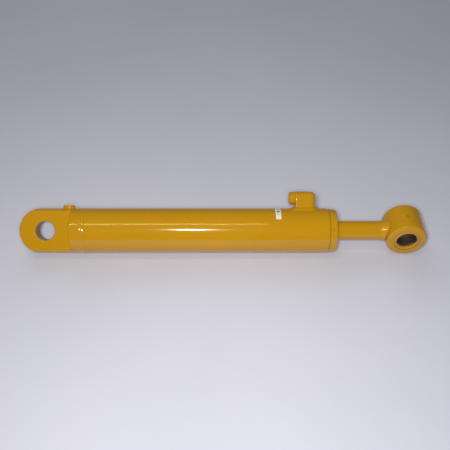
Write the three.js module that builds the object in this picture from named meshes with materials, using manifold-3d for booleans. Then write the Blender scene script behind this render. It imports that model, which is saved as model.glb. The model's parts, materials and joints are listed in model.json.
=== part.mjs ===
// Small welded double-acting hydraulic cylinder: flat tang with a pin bore at the base, screwed
// gland, weld-on elbow port near the head, and a cross-tube eye welded to the rod.
//
// Frame, in millimetres: +X runs along the cylinder from the base pin to the rod eye, +Z is up and
// the origin is the middle of the base pin bore. The cylinder is fully retracted. The barrel is
// built in its own frame, with the ports along its +Z and the base pin bore along its Y, and that
// group is rolled about X, so the ports lean back and the tang's face leans up. The rod's eye lies
// with its pin bore along Y.

import * as THREE from "three";
import { mergeVertices } from "three/addons/utils/BufferGeometryUtils.js";
import Module from "manifold-3d";

const wasm = await Module();
wasm.setup();

// ---------------------------------------------------------------- driving dimensions
const TUBE_R = 35;              // 70 mm tube
const BORE_R = 30;              // 60 mm bore
const ROD_R = 15;               // 30 mm rod
const PIN_R = 15;               // 30 mm pin at both ends
const PIN_TO_PIN = 562;         // retracted length between pin centres
const BARREL_ROLL = -Math.PI / 4;

const GAP = 0.2;                // between pieces that rest on each other
const RUN = 0.15;               // radial running clearance of the seals and guides
const PAST = 5;                 // how far a cutter reaches past the surface it cuts
const ROUND = 40;               // facets on a turned piece; a whole number of them fits 45 degrees
const RING_ROUND = 30;          // facets on an O-ring
const BOSS_ROUND = 32;          // facets on a port boss and its weld
const SMALL_ROUND = 20;         // facets on a drilled hole
const TINY_ROUND = 12;          // facets on a grease or spanner hole
const EDGE_FACETS = 3;          // facets on a rounded edge

const TANG_HALF = 16;           // half the tang's thickness
const TANG_END_X = -5;          // centre of the tang's round end
const TANG_FLAT_END = 40.2;     // where the milled flats stop
const TANG_FILLET = 7;
const BASE_SHOULDER = 58.3;     // face that meets the tube
const SPIGOT_END = 65;          // front face of the spigot inside the tube
const SPIGOT_CHAMFER = 1;
const OIL_R = 4;                // oil drillings

const BASE_PORT_X = 34.3;
const BASE_BOSS_R = 9;
const BASE_BOSS_TOP = 39.5;     // from the cylinder's axis
const BOSS_BEAD_LEG = 1.4;
const BOSS_BEAD_HEIGHT = 1.1;
const PORT_R = 5.9;             // threaded port holes
const PORT_DEPTH = 13;
const DRILL_POINT = 3;          // how far the base port is drilled below its thread

const WELD_PREP = 4;            // depth of the V at the base joint
const BASE_BEAD = 0.6;          // crown of the base weld above the tube
const BASE_TOE = 0.9;           // how far each toe of the base weld runs over the V

const ROOT_GAP = 0.3;           // between the two pieces that a weld joins
const TUBE_START = BASE_SHOULDER + ROOT_GAP;
const TUBE_END = 439.8;
const THREAD_X = 424;           // gland thread starts here
const THREAD_DEPTH = 1;

const BLOCK_X = [388.3, 420.7]; // elbow port block along the tube
const BLOCK_HALF = 12.5;        // half its width across the tube
const BLOCK_TOP = 60.9;         // from the cylinder's axis
const BLOCK_CORNER = 8;         // round corners at its top ends
const BLOCK_EDGE = 7;           // round along the front and back edges
const ELBOW_AXIS = 50.5;        // height of the elbow's side outlet
const ELBOW_R = 10;
const ELBOW_FACE = 379;
const HEAD_PORT_X = (BLOCK_X[0] + BLOCK_X[1]) / 2;
const BLOCK_BEAD = 4.2;         // leg of the weld round the block
const OUTLET_BEAD = 5.6;        // the same under the outlet
const BEAD_HEIGHT = 2.4;

const NOSE_START = 395.6;       // gland nose, the stop for the piston
const NOSE_R = 25;
const GLAND_START = 410.5;
const FLANGE_X = [440.3, 451.4];
const FLANGE_R = 34.1;
const FLANGE_CONE = [5.2, 0.7]; // length and drop of the slight cone at its front
const FLANGE_BREAK = 0.8;       // broken edges of the flange
const SPANNER_HOLE_X = 444.6;
const SPANNER_HOLE_TURN = 2.4 * (Math.PI / 180); // about X, from the tang's face
const SPANNER_HOLE_R = 2;
const SPANNER_HOLE_DEPTH = 4;
const RELIEF = 1;               // groove behind the flange, where the thread runs out
const WIPER_LIP = 1;            // edge of the gland that holds the wiper in its groove
const WIPER_SLACK = 0.9;        // between the rod and the wiper's root
const WIPER_NECK = 0.5;         // round the wiper where it leaves the gland
const WIPER_NOSE = 2;           // height and run of its nose above the lip
const WIPER_TIP = [0.3, 1.4];   // how far its lip runs before and behind the flange's face
const BACKUP_WIDTH = 2;

const PISTON_X = [85, 125];
const PISTON_R = 29.6;
const PISTON_CHAMFER = 1.2;
const PISTON_NOSE_R = 10;       // rod spigot through the piston
const NUT_X = [69, PISTON_X[0] - GAP];
const NUT_ACROSS_FLATS = 30;
const ROD_START = 68;
const ROD_CHAMFER = 1.5;
const ENERGIZER_INSET = 1;      // from each wall of the seal's groove
const ENERGIZER_TOP = 3;        // above the floor of the seal's groove
const STROKE = 270;

const EYE_R = 31.4;             // rod eye tube
const EYE_HALF = 25.5;
const EYE_SHIFT = 2;            // how far back its middle sits from the rod's axis
const EYE_ROUND = 4.2;          // round on its two outer edges
const BUSH_R = 20;
const BUSH_RECESS = 0.5;
const BUSH_CHAMFER = 1.8;
const GREASE_R = 2.5;
const ROD_BUTT = PIN_TO_PIN - EYE_R - ROOT_GAP;
const ROD_PREP = [10, 6];       // length and depth of the taper ground for the weld
const ROD_WELD_X = [518, 536];  // toe on the rod, toe on the eye
const ROD_WELD_RISE = 4.6;      // how far it stands above the rod at the eye
const ROD_WELD_HOLLOW = 1.6;    // power of the curve it rises along

// Where the internal grooves are cut, as [start, end, radius of the groove's floor].
const GROOVES = {
  guide: [398.5, 408.5, 17.6],
  rodSeal: [414, 421, 19.6],
  wiper: [443, 449, 19.4],
  glandORing: [413, 420, 26.4],
  wearRear: [88, 96, 27.2],
  pistonSeal: [99.5, 107.5, 24.4],
  wearFront: [111, 120, 27.2],
  noseORing: [121.2, 124, 12.3],
};

if (PISTON_X[1] + STROKE > NOSE_START - GAP) {
  throw new Error("the piston would pass the gland's nose");
}

// ---------------------------------------------------------------- materials
const paint = (r, g, b, roughness = 0.28) =>
  new THREE.MeshStandardMaterial({ color: new THREE.Color(r, g, b), roughness, metalness: 0 });
const metal = (grey, roughness) =>
  new THREE.MeshStandardMaterial({ color: new THREE.Color(grey, grey, grey), roughness, metalness: 1 });

const amberPaint = paint(0.55, 0.29, 0.01);
const weldPaint = paint(0.53, 0.28, 0.012, 0.35);
const chromeSteel = metal(0.6, 0.12);
const turnedSteel = metal(0.4, 0.35);
const bareBush = metal(0.25, 0.45);
const rubber = paint(0.02, 0.02, 0.022, 0.6);
const guideResin = paint(0.16, 0.05, 0.03, 0.5);
const sealBlue = paint(0.05, 0.12, 0.2, 0.45);

// ---------------------------------------------------------------- solids
/** Closed geometry as a solid whose faces point outwards. */
function solid(geometry, matrix = new THREE.Matrix4()) {
  const bare = geometry.clone().applyMatrix4(matrix);
  bare.deleteAttribute("normal");
  bare.deleteAttribute("uv");
  const merged = mergeVertices(bare, 1e-4);
  const index = merged.getIndex().array;
  const position = merged.getAttribute("position").array;
  const corner = (i) => new THREE.Vector3().fromArray(position, 3 * i);
  const triangles = [];
  let volume = 0;
  for (let i = 0; i < index.length; i += 3) {
    const [a, b, c] = [index[i], index[i + 1], index[i + 2]];
    if (a !== b && b !== c && c !== a) {
      triangles.push([a, b, c]);
      volume += corner(a).dot(corner(b).cross(corner(c)));
    }
  }
  const facing = volume > 0 ? triangles : triangles.map(([a, b, c]) => [a, c, b]);
  return new wasm.Manifold(
    new wasm.Mesh({
      numProp: 3,
      vertProperties: new Float32Array(position),
      triVerts: new Uint32Array(facing.flat()),
    }),
  );
}

/** Solid back to a named mesh with its own material. */
function piece(name, body, material) {
  const { vertProperties, triVerts } = body.getMesh();
  const geometry = new THREE.BufferGeometry();
  geometry.setAttribute("position", new THREE.BufferAttribute(vertProperties, 3));
  geometry.setIndex(new THREE.BufferAttribute(triVerts, 1));
  geometry.computeVertexNormals();
  const mesh = new THREE.Mesh(geometry, material.clone());
  mesh.name = name;
  return mesh;
}

/** Solid of revolution about X from [x, radius] points; a profile off the axis closes on itself. */
function turned(profile, facets = ROUND) {
  const points = profile.map(([x, r]) => new THREE.Vector2(r, x));
  const onAxis = profile[0][1] === 0 && profile[profile.length - 1][1] === 0;
  if (!onAxis) {
    points.push(points[0].clone());
  }
  const aboutX = new THREE.Matrix4().makeRotationZ(-Math.PI / 2);
  return solid(new THREE.LatheGeometry(points, facets), aboutX);
}

/** Plain ring or bar about X. */
function ring(start, end, inner, outer) {
  return inner > 0
    ? turned([[start, inner], [start, outer], [end, outer], [end, inner]])
    : turned([[start, 0], [start, outer], [end, outer], [end, 0]]);
}

/** Ring of round section about X. */
function torus(x, middleRadius, sectionRadius, sides = 6) {
  const profile = [];
  for (let i = 0; i < sides; i += 1) {
    const angle = (2 * Math.PI * i) / sides;
    profile.push([x + sectionRadius * Math.cos(angle), middleRadius + sectionRadius * Math.sin(angle)]);
  }
  return turned(profile, RING_ROUND);
}

/** Round bar between two points, used for drillings and bosses. */
function rod(from, to, radius, facets = SMALL_ROUND) {
  const start = new THREE.Vector3(...from);
  const along = new THREE.Vector3(...to).sub(start);
  const length = along.length();
  const turn = new THREE.Quaternion().setFromUnitVectors(new THREE.Vector3(0, 1, 0), along.normalize());
  const middle = start.addScaledVector(along, length / 2);
  const matrix = new THREE.Matrix4().compose(middle, turn, new THREE.Vector3(1, 1, 1));
  return solid(new THREE.CylinderGeometry(radius, radius, length, facets), matrix);
}

/** Outline drawn in X and Z, extruded along Y between -half and +half, with optional bevels. */
function acrossY(shape, half, bevel = 0, curveSegments = 12) {
  const geometry = new THREE.ExtrudeGeometry(shape, {
    depth: 2 * (half - bevel),
    bevelEnabled: bevel > 0,
    bevelThickness: bevel,
    bevelSize: bevel,
    bevelOffset: -bevel,
    bevelSegments: 2,
    curveSegments,
  });
  geometry.translate(0, 0, bevel - half);
  return solid(geometry, new THREE.Matrix4().makeRotationX(Math.PI / 2));
}

/** Rectangle with round corners in X and Y, extruded along Z. */
function roundedPrism(xRange, yHalf, zRange, radius) {
  const [x0, x1] = xRange;
  const shape = new THREE.Shape();
  shape.moveTo(x0 + radius, -yHalf);
  shape.lineTo(x1 - radius, -yHalf);
  shape.absarc(x1 - radius, radius - yHalf, radius, -Math.PI / 2, 0);
  shape.lineTo(x1, yHalf - radius);
  shape.absarc(x1 - radius, yHalf - radius, radius, 0, Math.PI / 2);
  shape.lineTo(x0 + radius, yHalf);
  shape.absarc(x0 + radius, yHalf - radius, radius, Math.PI / 2, Math.PI);
  shape.lineTo(x0, radius - yHalf);
  shape.absarc(x0 + radius, radius - yHalf, radius, Math.PI, 1.5 * Math.PI);
  const depth = zRange[1] - zRange[0];
  const geometry = new THREE.ExtrudeGeometry(shape, { depth, bevelEnabled: false, curveSegments: 2 });
  return solid(geometry.translate(0, 0, zRange[0]));
}

/** Seal or ring that fills a groove, open to the bore side or to the outside. */
function inGroove([start, end, floor], open) {
  const [inner, outer] = floor < open ? [floor + GAP, open] : [open, floor - GAP];
  return ring(start + GAP, end - GAP, inner, outer);
}

/** Groove cutter that reaches a little past the surface it is cut from. */
function grooveCut([start, end, floor], surface) {
  const past = surface + Math.sign(surface - floor);
  return ring(start, end, Math.min(floor, past), Math.max(floor, past));
}

// ---------------------------------------------------------------- barrel
function barrelTube() {
  const chamferR = TUBE_R - WELD_PREP;
  const tube = turned([
    [TUBE_START, BORE_R],
    [TUBE_START, chamferR],
    [TUBE_START + WELD_PREP, TUBE_R],
    [TUBE_END, TUBE_R],
    [TUBE_END, BORE_R + THREAD_DEPTH],
    [THREAD_X - GAP, BORE_R + THREAD_DEPTH],
    [THREAD_X - GAP - THREAD_DEPTH, BORE_R],
  ]);
  return tube.subtract(rod([HEAD_PORT_X, 0, BORE_R - PAST], [HEAD_PORT_X, 0, TUBE_R + PAST], OIL_R));
}

function milledFlat(side) {
  const depth = 2 * TUBE_R;
  const shape = new THREE.Shape();
  shape.moveTo(-depth, TANG_HALF);
  shape.lineTo(TANG_FLAT_END - TANG_FILLET, TANG_HALF);
  shape.absarc(TANG_FLAT_END - TANG_FILLET, TANG_HALF + TANG_FILLET, TANG_FILLET, -Math.PI / 2, 0);
  shape.lineTo(TANG_FLAT_END, depth);
  shape.lineTo(-depth, depth);
  const options = { depth: 2 * depth, bevelEnabled: false, curveSegments: EDGE_FACETS };
  const geometry = new THREE.ExtrudeGeometry(shape, options).translate(0, 0, -depth);
  return solid(geometry, new THREE.Matrix4().makeScale(1, side, 1));
}

function tangOutline() {
  const shape = new THREE.Shape();
  shape.moveTo(TANG_END_X, -TUBE_R);
  shape.lineTo(TANG_END_X, -2 * TUBE_R);
  shape.lineTo(2 * SPIGOT_END, -2 * TUBE_R);
  shape.lineTo(2 * SPIGOT_END, 2 * TUBE_R);
  shape.lineTo(TANG_END_X, 2 * TUBE_R);
  shape.lineTo(TANG_END_X, TUBE_R);
  shape.absarc(TANG_END_X, 0, TUBE_R, Math.PI / 2, 1.5 * Math.PI);
  return acrossY(shape, TUBE_R + PAST);
}

function baseTang() {
  const spigotR = BORE_R - GAP;
  const drillEnd = BASE_BOSS_TOP - PORT_DEPTH - DRILL_POINT;
  const bar = turned([
    [-2 * TUBE_R, 0],
    [-2 * TUBE_R, TUBE_R],
    [BASE_SHOULDER - WELD_PREP, TUBE_R],
    [BASE_SHOULDER, TUBE_R - WELD_PREP],
    [BASE_SHOULDER, spigotR],
    [SPIGOT_END - SPIGOT_CHAMFER, spigotR],
    [SPIGOT_END, spigotR - SPIGOT_CHAMFER],
    [SPIGOT_END, 0],
  ]);
  return bar
    .intersect(tangOutline())
    .subtract(milledFlat(1))
    .subtract(milledFlat(-1))
    .subtract(rod([0, -TUBE_R, 0], [0, TUBE_R, 0], PIN_R, ROUND))
    .subtract(rod([BASE_PORT_X, 0, TUBE_R + PAST], [BASE_PORT_X, 0, drillEnd], PORT_R))
    .subtract(rod([BASE_PORT_X, 0, TUBE_R], [BASE_PORT_X, 0, 0], OIL_R))
    .subtract(rod([BASE_PORT_X - OIL_R, 0, 0], [SPIGOT_END + PAST, 0, 0], OIL_R));
}

function baseWeld() {
  const toe = TUBE_R + GAP;
  const root = TUBE_R - WELD_PREP + GAP;
  const left = BASE_SHOULDER - WELD_PREP;
  const right = TUBE_START + WELD_PREP;
  const middle = (left + right) / 2;
  const shoulder = TUBE_R + 0.8 * BASE_BEAD;
  return turned([
    [left - BASE_TOE, toe],
    [left + BASE_TOE, shoulder],
    [middle, TUBE_R + BASE_BEAD],
    [right - BASE_TOE, shoulder],
    [right + BASE_TOE, toe],
    [right - GAP, toe],
    [TUBE_START + GAP / 2, root + GAP],
    [BASE_SHOULDER - GAP / 2, root + GAP],
    [left + GAP, toe],
  ]);
}

function basePortBoss() {
  return rod([BASE_PORT_X, 0, 0], [BASE_PORT_X, 0, BASE_BOSS_TOP], BASE_BOSS_R, BOSS_ROUND)
    .subtract(ring(0, 2 * BASE_PORT_X, 0, TUBE_R + GAP))
    .subtract(rod([BASE_PORT_X, 0, 0], [BASE_PORT_X, 0, BASE_BOSS_TOP + PAST], PORT_R));
}

function basePortWeld() {
  const inner = BASE_BOSS_R + GAP;
  return rod([BASE_PORT_X, 0, 0], [BASE_PORT_X, 0, BASE_BOSS_TOP], inner + BOSS_BEAD_LEG, BOSS_ROUND)
    .subtract(rod([BASE_PORT_X, 0, 0], [BASE_PORT_X, 0, BASE_BOSS_TOP + PAST], inner, BOSS_ROUND))
    .intersect(ring(0, 2 * BASE_PORT_X, 0, TUBE_R + GAP + BOSS_BEAD_HEIGHT))
    .subtract(ring(-PAST, 2 * BASE_PORT_X + PAST, 0, TUBE_R + GAP));
}

function headPortElbow() {
  const [x0, x1] = BLOCK_X;
  const side = new THREE.Shape();
  side.moveTo(x0, 0);
  side.lineTo(x1, 0);
  side.lineTo(x1, BLOCK_TOP - BLOCK_CORNER);
  side.absarc(x1 - BLOCK_CORNER, BLOCK_TOP - BLOCK_CORNER, BLOCK_CORNER, 0, Math.PI / 2);
  side.lineTo(x0 + BLOCK_CORNER, BLOCK_TOP);
  side.absarc(x0 + BLOCK_CORNER, BLOCK_TOP - BLOCK_CORNER, BLOCK_CORNER, Math.PI / 2, Math.PI);
  const outlet = rod([ELBOW_FACE, 0, ELBOW_AXIS], [HEAD_PORT_X, 0, ELBOW_AXIS], ELBOW_R, BOSS_ROUND);
  return acrossY(side, BLOCK_HALF, BLOCK_EDGE, EDGE_FACETS)
    .add(outlet)
    .subtract(ring(ELBOW_FACE - PAST, x1 + PAST, 0, TUBE_R + GAP))
    .subtract(rod([ELBOW_FACE - PAST, 0, ELBOW_AXIS], [ELBOW_FACE + PORT_DEPTH, 0, ELBOW_AXIS], PORT_R))
    .subtract(rod([ELBOW_FACE, 0, ELBOW_AXIS], [HEAD_PORT_X + OIL_R, 0, ELBOW_AXIS], OIL_R))
    .subtract(rod([HEAD_PORT_X, 0, ELBOW_AXIS], [HEAD_PORT_X, 0, 0], OIL_R));
}

function headPortWeld() {
  const [x0, x1] = BLOCK_X;
  const outside = [x0 - OUTLET_BEAD, x1 + BLOCK_BEAD];
  const inside = [x0 - GAP, x1 + GAP];
  const bead = ring(x0 - 2 * BLOCK_BEAD, x1 + 2 * BLOCK_BEAD, TUBE_R + GAP, TUBE_R + GAP + BEAD_HEIGHT);
  return roundedPrism(outside, BLOCK_HALF + BLOCK_BEAD, [BLOCK_HALF, BLOCK_TOP], BLOCK_BEAD + BLOCK_EDGE)
    .subtract(roundedPrism(inside, BLOCK_HALF + GAP, [0, BLOCK_TOP + PAST], BLOCK_EDGE))
    .intersect(bead);
}

// ---------------------------------------------------------------- gland and its seals
function gland() {
  const boreR = ROD_R + 3 * RUN;
  const [flangeStart, flangeEnd] = FLANGE_X;
  const [coneLength, coneDrop] = FLANGE_CONE;
  const threadR = BORE_R + THREAD_DEPTH - GAP;
  let body = turned([
    [NOSE_START, boreR],
    [NOSE_START, NOSE_R],
    [GLAND_START, NOSE_R],
    [GLAND_START, BORE_R - GAP],
    [THREAD_X, BORE_R - GAP],
    [THREAD_X, threadR],
    [TUBE_END - RELIEF, threadR],
    [TUBE_END - RELIEF, BORE_R - RELIEF],
    [flangeStart, BORE_R - RELIEF],
    [flangeStart, FLANGE_R - FLANGE_BREAK],
    [flangeStart + FLANGE_BREAK, FLANGE_R],
    [flangeEnd - coneLength, FLANGE_R],
    [flangeEnd - FLANGE_BREAK, FLANGE_R - coneDrop],
    [flangeEnd, FLANGE_R - coneDrop - FLANGE_BREAK],
    [flangeEnd, boreR],
  ]);
  body = body
    .subtract(grooveCut(GROOVES.guide, boreR))
    .subtract(grooveCut(GROOVES.rodSeal, boreR))
    .subtract(grooveCut(GROOVES.wiper, boreR))
    .subtract(ring(GROOVES.wiper[0], flangeEnd + PAST, 0, GROOVES.wiper[2] - WIPER_LIP))
    .subtract(grooveCut(GROOVES.glandORing, BORE_R - GAP));
  for (let quarter = 0; quarter < 4; quarter += 1) {
    const turn = SPANNER_HOLE_TURN + (quarter * Math.PI) / 2;
    const at = (radius) => [SPANNER_HOLE_X, -radius * Math.cos(turn), radius * Math.sin(turn)];
    const hole = rod(at(FLANGE_R - SPANNER_HOLE_DEPTH), at(FLANGE_R + PAST), SPANNER_HOLE_R, TINY_ROUND);
    body = body.subtract(hole);
  }
  return body;
}

function rodWiper() {
  const [start, end, floor] = GROOVES.wiper;
  const [tipFront, tipBack] = WIPER_TIP;
  const lip = ROD_R + RUN;
  return turned([
    [start + GAP, ROD_R + WIPER_SLACK],
    [start + GAP, floor - GAP],
    [end - GAP, floor - GAP],
    [end - GAP, floor - WIPER_LIP - WIPER_NECK],
    [FLANGE_X[1] - WIPER_NECK, lip + WIPER_NOSE],
    [FLANGE_X[1] + tipFront, lip],
    [FLANGE_X[1] - tipBack, lip],
    [end - WIPER_NOSE, ROD_R + WIPER_SLACK],
  ]);
}

function glandORing() {
  const [start, , floor] = GROOVES.glandORing;
  const section = (BORE_R - RUN - floor - GAP) / 2;
  return torus(start + GAP + section, floor + GAP + section, section);
}

function glandBackupRing() {
  const [, end, floor] = GROOVES.glandORing;
  return ring(end - BACKUP_WIDTH, end - GAP, floor + GAP, BORE_R - GAP);
}

// ---------------------------------------------------------------- piston rings
function pistonEnergizer() {
  const [start, end, floor] = GROOVES.pistonSeal;
  return ring(start + ENERGIZER_INSET, end - ENERGIZER_INSET, floor + GAP, floor + ENERGIZER_TOP);
}

function pistonSeal() {
  const [start, end, floor] = GROOVES.pistonSeal;
  return ring(start + GAP, end - GAP, floor + ENERGIZER_TOP + GAP, BORE_R - RUN);
}

// ---------------------------------------------------------------- piston, rod and eye
function piston() {
  return turned([
    [PISTON_X[0], PISTON_NOSE_R + GAP],
    [PISTON_X[0], PISTON_R - PISTON_CHAMFER],
    [PISTON_X[0] + PISTON_CHAMFER, PISTON_R],
    [PISTON_X[1] - PISTON_CHAMFER, PISTON_R],
    [PISTON_X[1], PISTON_R - PISTON_CHAMFER],
    [PISTON_X[1], PISTON_NOSE_R + GAP],
  ])
    .subtract(grooveCut(GROOVES.wearRear, PISTON_R))
    .subtract(grooveCut(GROOVES.pistonSeal, PISTON_R))
    .subtract(grooveCut(GROOVES.wearFront, PISTON_R))
    .subtract(grooveCut(GROOVES.noseORing, PISTON_NOSE_R + GAP));
}

function noseORing() {
  const [start, end, floor] = GROOVES.noseORing;
  const section = (floor - PISTON_NOSE_R - 2 * GAP) / 2;
  return torus((start + end) / 2, PISTON_NOSE_R + GAP + section, section);
}

function pistonNut() {
  const corner = NUT_ACROSS_FLATS / Math.sqrt(3);
  const [start, end] = NUT_X;
  const hexagon = rod([start, 0, 0], [end, 0, 0], corner, 6);
  return hexagon.subtract(ring(start - PAST, end + PAST, 0, PISTON_NOSE_R + GAP));
}

function pistonRod() {
  const [prepLength, prepDepth] = ROD_PREP;
  return turned([
    [ROD_START, 0],
    [ROD_START, PISTON_NOSE_R - ROD_CHAMFER],
    [ROD_START + ROD_CHAMFER, PISTON_NOSE_R],
    [PISTON_X[1] + GAP, PISTON_NOSE_R],
    [PISTON_X[1] + GAP, ROD_R],
    [ROD_BUTT - prepLength, ROD_R],
    [ROD_BUTT, ROD_R - prepDepth],
    [ROD_BUTT, 0],
  ]);
}

/** Bar along Y through the rod eye's centre, longer than the eye. */
function crossBar(radius) {
  const reach = EYE_HALF + PAST;
  return rod([PIN_TO_PIN, -reach, 0], [PIN_TO_PIN, reach, 0], radius, ROUND);
}

function rodEye() {
  const outer = new THREE.Shape().absarc(PIN_TO_PIN, 0, EYE_R, 0, 2 * Math.PI);
  return acrossY(outer, EYE_HALF, EYE_ROUND, ROUND / 2)
    .subtract(crossBar(BUSH_R + GAP / 2))
    .subtract(rod([PIN_TO_PIN, 0, PIN_R], [PIN_TO_PIN, 0, EYE_R + PAST], GREASE_R, TINY_ROUND))
    .translate([0, EYE_SHIFT, 0]);
}

function rodEyeBush() {
  const half = EYE_HALF - BUSH_RECESS;
  const profile = [
    [-half, PIN_R + BUSH_CHAMFER],
    [-half, BUSH_R - GAP / 2],
    [half, BUSH_R - GAP / 2],
    [half, PIN_R + BUSH_CHAMFER],
    [half - BUSH_CHAMFER, PIN_R],
    [BUSH_CHAMFER - half, PIN_R],
  ];
  const points = [...profile, profile[0]].map(([y, r]) => new THREE.Vector2(r, y));
  const place = new THREE.Matrix4().makeTranslation(PIN_TO_PIN, 0, 0);
  return solid(new THREE.LatheGeometry(points, ROUND), place)
    .subtract(rod([PIN_TO_PIN, 0, 0], [PIN_TO_PIN, 0, EYE_R], GREASE_R, TINY_ROUND))
    .translate([0, EYE_SHIFT, 0]);
}

/** Hollow fillet that rises from the rod and ends on the eye's round wall. */
function rodEyeWeld() {
  const [prepLength, prepDepth] = ROD_PREP;
  const [start, end] = ROD_WELD_X;
  const steps = 6;
  const crown = [];
  for (let i = 0; i <= steps; i += 1) {
    const share = i / steps;
    crown.push([start + (end - start) * share, ROD_R + GAP + ROD_WELD_RISE * share ** ROD_WELD_HOLLOW]);
  }
  const inside = ROD_BUTT + ROD_WELD_RISE;
  return turned([
    ...crown,
    [end + ROD_WELD_RISE, ROD_R + GAP + ROD_WELD_RISE],
    [end + ROD_WELD_RISE, ROD_R - prepDepth + PAST],
    [inside, ROD_R - prepDepth + GAP],
    [ROD_BUTT + GAP, ROD_R - prepDepth + GAP],
    [ROD_BUTT - prepLength + GAP, ROD_R + GAP / 2],
  ]).subtract(crossBar(EYE_R + GAP));
}

// ---------------------------------------------------------------- assembly
const barrel = new THREE.Group();
barrel.rotation.x = BARREL_ROLL;
barrel.add(
  piece("barrel_tube", barrelTube(), amberPaint),
  piece("base_tang", baseTang(), amberPaint),
  piece("base_weld", baseWeld(), weldPaint),
  piece("base_port_boss", basePortBoss(), amberPaint),
  piece("base_port_weld", basePortWeld(), weldPaint),
  piece("head_port_elbow", headPortElbow(), amberPaint),
  piece("head_port_weld", headPortWeld(), weldPaint),
  piece("gland", gland(), amberPaint),
  piece("gland_o_ring", glandORing(), rubber),
  piece("gland_backup_ring", glandBackupRing(), guideResin),
  piece("rod_guide_ring", inGroove(GROOVES.guide, ROD_R + RUN), guideResin),
  piece("rod_seal", inGroove(GROOVES.rodSeal, ROD_R + RUN), sealBlue),
  piece("rod_wiper", rodWiper(), rubber),
);

const pistonRings = new THREE.Group();
pistonRings.add(
  piece("piston_wear_ring_rear", inGroove(GROOVES.wearRear, BORE_R - RUN), guideResin),
  piece("piston_seal_energizer", pistonEnergizer(), rubber),
  piece("piston_seal", pistonSeal(), sealBlue),
  piece("piston_wear_ring_front", inGroove(GROOVES.wearFront, BORE_R - RUN), guideResin),
);

const rodAssembly = new THREE.Group();
rodAssembly.add(
  piece("piston_nut", pistonNut(), turnedSteel),
  piece("piston", piston(), turnedSteel),
  piece("piston_o_ring", noseORing(), rubber),
  piece("piston_rod", pistonRod(), chromeSteel),
  piece("rod_eye_weld", rodEyeWeld(), weldPaint),
  piece("rod_eye", rodEye(), amberPaint),
  piece("rod_eye_bush", rodEyeBush(), bareBush),
);

const cylinder = new THREE.Group();
cylinder.add(barrel, pistonRings, rodAssembly);

export default cylinder;
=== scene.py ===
import json
import math

import bmesh
import bpy
import numpy as np
from mathutils import Matrix, Vector

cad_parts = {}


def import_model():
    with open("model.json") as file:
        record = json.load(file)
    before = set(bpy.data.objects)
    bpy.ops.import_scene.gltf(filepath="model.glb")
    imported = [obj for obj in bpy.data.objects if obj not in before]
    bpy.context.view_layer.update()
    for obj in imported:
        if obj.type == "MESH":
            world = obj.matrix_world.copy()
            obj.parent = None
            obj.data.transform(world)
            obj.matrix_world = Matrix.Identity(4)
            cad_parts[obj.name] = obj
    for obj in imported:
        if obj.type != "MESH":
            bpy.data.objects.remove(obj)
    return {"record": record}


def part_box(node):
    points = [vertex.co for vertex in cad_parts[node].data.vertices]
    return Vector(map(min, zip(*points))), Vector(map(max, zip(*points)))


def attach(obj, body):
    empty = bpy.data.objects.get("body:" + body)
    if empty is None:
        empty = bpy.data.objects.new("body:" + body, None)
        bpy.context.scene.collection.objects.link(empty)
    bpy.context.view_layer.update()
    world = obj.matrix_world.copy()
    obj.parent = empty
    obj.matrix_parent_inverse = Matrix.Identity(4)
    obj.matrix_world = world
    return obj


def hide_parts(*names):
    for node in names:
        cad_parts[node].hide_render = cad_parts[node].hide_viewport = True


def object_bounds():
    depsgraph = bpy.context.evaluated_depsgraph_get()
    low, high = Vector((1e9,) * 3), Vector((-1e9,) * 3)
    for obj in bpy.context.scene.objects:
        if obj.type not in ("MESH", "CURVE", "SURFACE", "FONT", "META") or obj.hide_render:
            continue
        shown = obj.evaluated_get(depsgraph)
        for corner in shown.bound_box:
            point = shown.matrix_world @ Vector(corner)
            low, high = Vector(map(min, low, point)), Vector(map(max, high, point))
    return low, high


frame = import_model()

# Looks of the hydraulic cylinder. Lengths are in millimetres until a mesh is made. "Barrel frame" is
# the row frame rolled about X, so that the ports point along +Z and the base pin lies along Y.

MM = 0.001
cad_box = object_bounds()


def box_mm(node):
    low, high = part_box(node)
    return low / MM, high / MM


# ---------------------------------------------------------------- sizes, from the frame where it has them
mounts = {m["name"]: m for m in frame["record"]["mounts"]}
tube_low, tube_high = box_mm("barrel_tube")
eye_low, eye_high = box_mm("rod_eye")
gland_low, gland_high = box_mm("gland")
elbow_low, elbow_high = box_mm("head_port_elbow")
boss_low, boss_high = box_mm("base_port_boss")
tang_low, tang_high = box_mm("base_tang")
bush_low, bush_high = box_mm("rod_eye_bush")
rod_low, rod_high = box_mm("piston_rod")

TUBE_R = tube_high.z
WALL = 5.0
BORE_R = TUBE_R - WALL
EYE_X = (eye_low.x + eye_high.x) / 2
EYE_R = (eye_high.z - eye_low.z) / 2
EYE_HALF = (eye_high.y - eye_low.y) / 2
EYE_SHIFT = (eye_high.y + eye_low.y) / 2
ROD_R = rod_high.z
PIN_R = 15.0
FACE_NORMAL = Vector(mounts["base_tang_front_face"]["axis"]).normalized()
PORT_UP = Vector((1, 0, 0)).cross(-FACE_NORMAL)
BARREL_FRAME = np.array([(1, 0, 0), tuple(-FACE_NORMAL), tuple(PORT_UP)])

TANG_TIP = tang_low.x
TANG_HALF = 16.0
TANG_END_X = TANG_TIP + TUBE_R
FLAT_END = 40.2
FLAT_FILLET = 2.5
ROOT_GAP = 0.3
SHOULDER = tube_low.x - ROOT_GAP
SPIGOT_END = tang_high.x
OIL_R = 4.0
THREAD_R = 6.5
THREAD_PITCH = 1.34
THREAD_LEAD_IN = 1.2

BASE_PORT_X = (boss_low.x + boss_high.x) / 2
BASE_BOSS_R = (boss_high.x - boss_low.x) / 2
BASE_BOSS_TOP = 39.5
PORT_DEPTH = 13.0

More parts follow.
